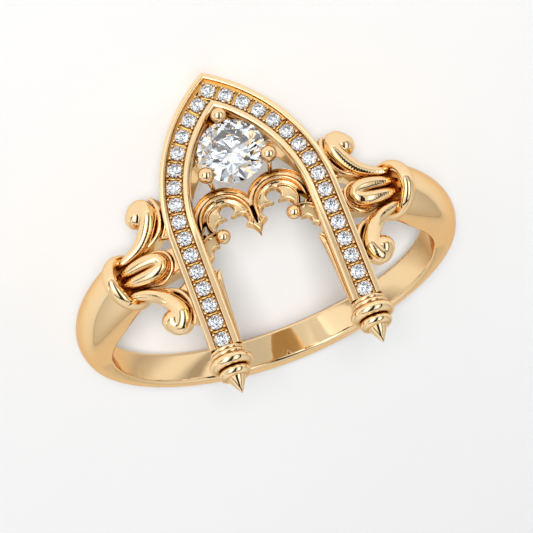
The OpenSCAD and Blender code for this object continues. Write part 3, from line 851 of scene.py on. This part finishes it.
# Circles are (x, y, radius), and outlines are rows of (x, y).
TOP_FOIL, INNER_FOIL, OUTER_FOIL = (1.27, 1.17, 0.39), (0.77, 0.45, 0.37), (1.60, 0.26, 0.53)
HOOK_FOILS = [(2.33, -0.83, 0.34), (2.58, -1.40, 0.42)]
PENDANT = [(0, 0.2), (0.62, 0.2), (0.57, 0.12), (0.24, -0.10), (0.07, -0.42), (0, -0.64), (-0.3, -0.64),
    (-0.3, 0.2)]
OPENING = [(0.97, 0.77), (1.53, 0.80), (1.95, 0.4), (2.02, -1.6), (-0.2, -1.6), (-0.2, -0.9), (0, -0.64),
    (0.07, -0.42), (0.24, -0.10), (0.57, 0.12)]
SIDE_GAP = [(2.50, 0.95), (2.96, 0.24), (2.44, 0.27), (2.53, 0.6)]
HOOK = [(2.1, 0.15), (2.3, 0.2), (2.63, 0.18), (3.1, 0.02), (3.1, -2.7), (2.94, -2.7), (2.82, -2.17),
    (2.68, -1.84), (2.86, -1.74), (2.60, -0.97), (2.2, -0.5)]
LEAF = np.array([(2.76, -1.84, 0.05), (2.93, -1.92, 0.09), (3.05, -2.3, 0.09)])
BRANCH = (1.60, 0.68, 0.78)
HOOK_ROUND = (2.35, -0.86, 0.97)
HANGING_BEAD = (1.91, -0.18, 10.14)
HANGING_R = 0.375
TRACERY_BACK = 9.5
# Rows of (x, y, half width) down each leg's inside
LEAF_TAIL = [(2.66, -1.78, 0.02), (2.74, -1.92, 0.10), (2.86, -2.25, 0.19), (2.90, -3.0, 0.16),
    (2.92, -4.5, 0.10), (2.94, LEG_END + 0.05, 0.06)]
LEAF_TAIL_Z = 10.12


def roll(d, half):
    """A rounded moulding's height, 1 on its line and 0 at its half width."""
    return 0.5 + 0.5 * np.cos(math.pi * np.clip(np.abs(d) / half, 0, 1))


def tracery_plan(x, y):
    """Distances in plan to the whole tracery and to its hooks."""
    opening = np.minimum.reduce([disc(x, y, TOP_FOIL), disc(x, y, INNER_FOIL), disc(x, y, OUTER_FOIL),
        polygon(x, y, OPENING), polygon(x, y, SIDE_GAP), box2(x, y, 1.91, 3.4, -1.8, 0.0)])
    lobe = disc(x, y, (LOBE_X, LOBE_Y, LOBE_R))
    arch = np.maximum(np.minimum(lobe, polygon(x, y, PENDANT)), -opening)
    arm = np.maximum(np.abs(disc(x, y, BRANCH)) - 0.12, box2(x, y, 1.95, 2.7, -0.04, 1.6))
    foils = np.minimum(disc(x, y, HOOK_FOILS[0]), disc(x, y, HOOK_FOILS[1]))
    hook = np.maximum(polygon(x, y, HOOK), -foils)
    return np.minimum(np.minimum(arch, arm), hook), hook


def tracery_top(x, y, hook):
    """Height of the front: slopes inside the arches, with rolled mouldings on them."""
    r = np.hypot(x - LOBE_X, y - LOBE_Y)
    rho = np.where(y > LOBE_Y, r, np.maximum(np.abs(x - LOBE_X), r * (x > LOBE_X)))
    upper = np.clip((y + 0.1) / 0.3, 0, 1)
    top = 10.10 - 0.62 * np.clip(1.13 - rho, 0, 0.6)
    top = np.where(hook < 0.02, np.where(y < 0.25, 10.02, top), top)
    top = np.maximum(top, 10.04 + 0.34 * roll(rho - 1.71, 0.105) * upper)
    top = np.maximum(top, 10.04 + 0.28 * roll(rho - 1.31, 0.215) * upper)
    branch_roll = roll(disc(x, y, BRANCH) - 0.04, 0.10)
    top = np.maximum(top, 10.02 + 0.16 * branch_roll * (x > 1.6) * (y > -0.1))
    hook_roll = roll(disc(x, y, HOOK_ROUND), 0.13)
    top = np.maximum(top, 10.02 + 0.24 * hook_roll * (x > 2.1) * (y > -0.75))
    leaf_roll = roll(np.maximum(flat_tube(x, y, LEAF) + 0.05, 0), 0.12)
    top = np.maximum(top, 10.05 + 0.22 * leaf_roll * (y < -1.6))
    cleft = np.clip(1 - x / 0.06, 0, 1) * np.clip((0.98 - y) / 0.1, 0, 1) * np.clip((y + 0.08) / 0.15, 0, 1)
    return top - 0.20 * cleft


def tracery_distance(p):
    x, y, z = np.abs(p[:, 0]), p[:, 1], p[:, 2]
    plan, hook = tracery_plan(x, y)
    body = blend_max(plan, (z - tracery_top(x, y, hook)) * 0.5, 0.09)
    return np.maximum(body, TRACERY_BACK - z) * 0.8


def leaf_tail():
    """A thin rib from the lowest leaf down the inside of a leg to its finial."""
    a = turns(14)
    return swept([np.stack([x + half * np.cos(a), np.full(14, y), LEAF_TAIL_Z + half * np.sin(a)], -1)
        for x, y, half in curve_through(LEAF_TAIL, 4)])


def add_tracery():
    step = 0.04
    points, quads, normals = surface_net(tracery_distance, (-3.2, -2.8, 9.4), (3.2, 2.5, 10.55), step)
    add_piece("tracery", points, quads, CAST_GOLD, "gold", normals=normals)
    x, y, z = HANGING_BEAD
    beads = [ball((side * x, y, z), HANGING_R, 28) for side in (-1, 1)]
    add_piece("hanging_beads", *joined(beads), BEAD_GOLD, "gold")
    add_piece("leaf_tails", *on_both_sides(leaf_tail()), CAST_GOLD, "gold", sharp=60)


# Prongs: three balls, two on wires from the twin arches and one on a post at the arch's point

PRONG_ANGLES = (90, -30, 210)
WIRE_FOOT, WIRE_TOP = (1.52, 2.32, 10.15), (1.66, 2.80, 11.1)
POST_FOOT, POST_TOP, POST_R = (0, 5.9, 9.4), (0, 5.9, 11.2), 0.2


def add_prongs():
    parts = []
    for angle in PRONG_ANGLES:
        a = math.radians(angle)
        place = (PRONG_R * math.cos(a), CENTRE_Y + PRONG_R * math.sin(a), BALL_Z)
        parts.append(ball(place, BALL_R, 32))
    wire = rod(WIRE_FOOT, WIRE_TOP, 0.10, 0.14)
    post = rod(POST_FOOT, POST_TOP, POST_R, POST_R)
    add_piece("prongs", *joined(parts + [wire, mirrored(wire), post]), BEAD_GOLD, "gold")


# Finials: turned rings and a point under each leg

# Rows of (top, bottom, radius) of the rings, down from the leg's end
FINIAL_RINGS = [(0.0, 0.25, 0.90), (0.23, 0.48, 0.96), (0.46, 1.06, 1.14), (1.04, 1.56, 0.84)]
# Rows of (radius, height) of the point
FINIAL_POINT = [(0.5, -1.56), (0.47, -1.62), (0.02, -2.39), (0, -2.40)]


def finial():
    outline = [(0, 0)]
    for top, low, r in FINIAL_RINGS:
        half = (low - top) / 2
        outline += [(r - half + half * math.cos(t), -(top + low) / 2 + half * math.sin(t))
            for t in np.radians(np.linspace(80, -80, 15))]
    rings = [[(FINIAL_X + r * math.cos(a), LEG_END + y, FINIAL_Z + r * math.sin(a)) for a in turns(72)]
        for r, y in outline + FINIAL_POINT]
    return swept(rings, caps=False)


def add_finials():
    add_piece("finials", *on_both_sides(finial()), GOLD, "gold", sharp=45)


# Stones: round brilliants, with a table, stars, kites and halves

# Where the stars end and the lower halves end, as shares of the radius
STAR_R, LOWER_R = 0.80, 0.24
# Small stones: depth of the girdle below the face, and turn in degrees
PAVE_DEPTH, PAVE_TURN = 0.10, 11


def brilliant(centre, r, turn=0.0, table=0.57, crown=0.30, girdle=0.04, pavilion=0.86):
    """A stone round its girdle's middle. Sizes are shares of the radius, and turn is in degrees."""
    def ring(radius, z, n, offset):
        a = np.radians(np.arange(n) * 360 / n + offset + turn)
        return np.stack([radius * np.cos(a), radius * np.sin(a), np.full(n, z)], -1) * r

    flat = math.cos(math.radians(22.5))
    star_z = crown * (1 - (STAR_R * flat - table) / (1 - table))
    lower_z = -girdle - pavilion * (1 - LOWER_R * flat)
    culet = [[0, 0, (-girdle - pavilion) * r]]
    points = np.concatenate([ring(table, crown, 8, 0), ring(STAR_R, star_z, 8, 22.5), ring(1, 0, 16, 0),
        ring(1, -girdle, 16, 0), ring(LOWER_R, lower_z, 8, 22.5), culet]) + centre
    faces = [list(range(8))]
    for k in range(8):
        n = (k + 1) % 8
        faces += [[k, 8 + k, n], [n, 8 + k, 16 + 2 * n], [k, 16 + 2 * k, 8 + k],
            [8 + k, 16 + 2 * k, 17 + 2 * k], [8 + k, 17 + 2 * k, 16 + 2 * n],
            [48 + k, 33 + 2 * k, 32 + 2 * k], [48 + k, 32 + 2 * n, 33 + 2 * k],
            [48 + k, 56, 32 + 2 * n], [48 + k, 32 + 2 * k, 56]]
    for k in range(16):
        n = (k + 1) % 16
        faces.append([16 + k, 32 + k, 32 + n, 16 + n])
    return points, faces


def add_stones():
    small = []
    for i in range(PER_SIDE + 1):
        place, out = line_place(i * PITCH)
        turn = math.degrees(math.atan2(out[1], out[0]))
        for side in ((1,) if i == 0 else (1, -1)):
            centre = (side * place[0], place[1], FACE_Z - PAVE_DEPTH)
            small.append(brilliant(centre, PAVE_R, side * turn + PAVE_TURN))
    names = ["apex_stone"]
    names += [f"{side}_stone_{i:02d}" for side in ("left", "right") for i in range(1, PER_SIDE + 1)]
    piece = add_piece("small_stones", *joined(small), SMALL_CLEAR, "small_stones", flat=True)
    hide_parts(*names)
    centre_stone = brilliant((0, CENTRE_Y, CENTRE_Z), CENTRE_R, turn=6, pavilion=0.84)
    piece = add_piece("centre_brilliant", *centre_stone, CLEAR, "moissanite", flat=True)
    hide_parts("centre_stone")


add_band()
add_collars()
add_shoulders()
add_arch()
add_seats()
add_tracery()
add_prongs()
add_finials()
add_stones()
for name in ("band", "collar_recesses", "inner_slopes", "tracery", "leaf_tails", "arch_frame_right",
        "arch_frame_left", "shoulder_right", "shoulder_left", "collars", "finials", "prongs", "hanging_beads",
        "stone_seats", "cell_bars", "setting_grains"):
    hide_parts("gold")


# Floor

FLOOR_REACH, FLOOR_DROP = 2, 0.00002


def add_floor():
    mesh = bpy.data.meshes.new("floor")
    corners = [(x * FLOOR_REACH, y * FLOOR_REACH, 0) for x, y in ((-1, -1), (1, -1), (1, 1), (-1, 1))]
    mesh.from_pydata(corners, [], [[0, 1, 2, 3]])
    floor = bpy.data.objects.new("floor", mesh)
    bpy.context.scene.collection.objects.link(floor)
    floor.location.z = -FLOOR_DROP
    made, tree, shader = new_material("pale_floor")
    shader.inputs["Roughness"].default_value = 0.9
    base = mix_colour(tree, noise(tree, 40).ramp(0.3, 0.7), (0.91, 0.91, 0.91), (0.925, 0.925, 0.925))
    tree.links.new(base, shader.inputs["Base Color"])
    mesh.materials.append(made)


add_floor()


# Camera

# Its turn, place and focal length were fitted to the photograph, in the ring's own directions and for a
# picture of this many pixels each way.
RIGHT = np.array([0.9404, -0.3349, -0.0598])
DOWN = np.array([-0.3337, -0.8742, -0.3528])
AHEAD = np.array([0.0659, 0.3517, -0.9338])
EYE = np.array([-9.058, -48.742, 132.951])
FOCAL_PIXELS, PICTURE_PIXELS, SENSOR = 2600, 533, 36
right, up, back = TURN @ RIGHT, TURN @ -DOWN, TURN @ -AHEAD


def add_camera():
    camera = bpy.data.objects.new("camera", bpy.data.cameras.new("camera"))
    bpy.context.scene.collection.objects.link(camera)
    camera.rotation_mode = "QUATERNION"
    camera.rotation_quaternion = Matrix([list(v) for v in zip(right, up, back)]).to_quaternion()
    camera.location = to_row(EYE)[0]
    camera.data.sensor_width = SENSOR
    camera.data.lens = SENSOR * FOCAL_PIXELS / PICTURE_PIXELS
    camera.data.clip_start, camera.data.clip_end = 0.005, 10
    bpy.context.scene.camera = camera


add_camera()


# Light: a studio tent for the gold, a patchwork for the stones, and soft light and a lamp for the floor

LAMP_AWAY, LAMP_SIZE, LAMP_POWER = 0.56, 0.10, 2.85


def background(tree, strength, colour):
    """Light of a strength and a colour, each a value or a socket."""
    node = tree.nodes.new("ShaderNodeBackground")
    for name, value in (("Strength", strength), ("Color", colour)):
        if isinstance(value, bpy.types.NodeSocket):
            tree.links.new(value, node.inputs[name])
        else:
            node.inputs[name].default_value = value
    return node.outputs[0]


def for_rays(tree, kind, light, other):
    """One light for rays of a kind and another for the rest."""
    node = tree.nodes.new("ShaderNodeMixShader")
    path = tree.nodes.new("ShaderNodeLightPath")
    for i, socket in enumerate((path.outputs[kind], other, light)):
        tree.links.new(socket, node.inputs[i])
    return node.outputs[0]


def tent_light(tree, way):
    """Bright panels round the camera's place with dark gaps between them, and a bright hoop at the
    upper left, nearly square to its view."""
    def along(v):
        node = tree.nodes.new("ShaderNodeVectorMath")
        node.operation = "DOT_PRODUCT"
        tree.links.new(way, node.inputs[0])
        node.inputs[1].default_value = list(v)
        return Maths(tree, node.outputs["Value"])

    sideways, upward, toward, rise = along(right), along(up), along(back), along((0, 0, 1))
    front = toward.ramp(0.02, 0.12)
    across, high = sideways / toward, upward / toward
    side = across.abs()
    gap = ((across - 0.20).abs() - high.ramp(-0.9, 0.5, 0.27, 0.12)).ramp(-0.02, 0.03, 1, 0)
    gap = gap * high.ramp(0.62, 0.74, 1, 0) * high.ramp(-1.2, -0.9)
    left_flag = across.near(-1.25, 0.16, 0.24) * high.ramp(-0.2, 0.1) * high.ramp(2.2, 2.8, 1, 0)
    low_flag = high.near(-1.05, 0.12, 0.22) * side.ramp(0.9, 1.3, 1, 0)
    right_flag = across.near(1.55, 0.18, 0.30) * high.ramp(1.4, 1.9, 1, 0)
    top_flag = high.near(1.50, 0.22, 0.32) * side.ramp(1.2, 1.6, 1, 0)
    dark = ((gap + left_flag + low_flag + right_flag + top_flag) * front).ramp(0.0, 1.0)
    cores = across.near(-0.42, 0.16, 0.28) + across.near(0.74, 0.08, 0.18)
    core = cores * high.near(0.10, 0.35, 0.60) * front
    panel = side.ramp(0.9, 1.1, 1, 0) * high.abs().ramp(0.8, 0.95, 1, 0) * front
    hoop = toward.near(0.14, 0.08, 0.14) * (upward - sideways * 0.5).ramp(0.0, 0.3)
    base = rise.ramp(-0.1, 0.8, 0.62, 0.94) * sideways.ramp(-0.9, 0.9, 1.05, 0.9)
    level = (base + panel * 0.1 + core * 2.2 + hoop * 2.4) * (dark * -0.97 + 1.0)
    tint = mix_colour(tree, rise.ramp(-0.3, 0.8), (1.0, 0.98, 0.955), (0.98, 0.99, 1.0))
    return background(tree, level.socket, tint)


def stone_light(tree, way):
    """Patches of dark, grey and bright, some warm, which give the stones their sparkle."""
    patch = tree.nodes.new("ShaderNodeTexVoronoi")
    patch.inputs["Scale"].default_value = 6.0
    tree.links.new(way, patch.inputs["Vector"])
    split = tree.nodes.new("ShaderNodeSeparateColor")
    tree.links.new(patch.outputs["Color"], split.inputs["Color"])
    bright, warm = Maths(tree, split.outputs[0]), Maths(tree, split.outputs[1])
    level = bright.ramp(0.18, 0.25, 0.015, 0.62) + bright.ramp(0.45, 0.60, 0.0, 1.0)
    tint = mix_colour(tree, warm.ramp(0.55, 0.95), (0.80, 0.89, 1.0), (1.0, 0.68, 0.34))
    return background(tree, level.socket, tint)


def add_world():
    """The tent for what is mirrored, and other light through the stones, on the floor and behind it all."""
    world = bpy.data.worlds.new("tent")
    world.use_nodes = True
    bpy.context.scene.world = world
    tree = world.node_tree
    tree.nodes.remove(tree.nodes["Background"])
    way = tree.nodes.new("ShaderNodeTexCoord").outputs["Generated"]
    light = for_rays(tree, "Is Transmission Ray", stone_light(tree, way), tent_light(tree, way))
    light = for_rays(tree, "Is Diffuse Ray", background(tree, 0.45, (0.8, 0.8, 0.8, 1)), light)
    light = for_rays(tree, "Is Camera Ray", background(tree, 1.0, (0.93, 0.93, 0.93, 1)), light)
    tree.links.new(light, tree.nodes["World Output"].inputs["Surface"])


def add_lamp(name, place, aim, size, power):
    """A square lamp for the floor, kept out of the mirror images."""
    data = bpy.data.lights.new(name, "AREA")
    data.shape, data.size = "SQUARE", size
    data.energy = power
    lamp = bpy.data.objects.new(name, data)
    bpy.context.scene.collection.objects.link(lamp)
    lamp.location = place
    lamp.visible_glossy = False
    lamp.rotation_mode = "QUATERNION"
    lamp.rotation_quaternion = (Vector(aim) - Vector(place)).to_track_quat("-Z", "Y")


add_world()
add_lamp("key", LAMP_AWAY * back, (0, 0, 0.004), LAMP_SIZE, LAMP_POWER)
view = bpy.context.scene.view_settings
view.view_transform = "Standard"
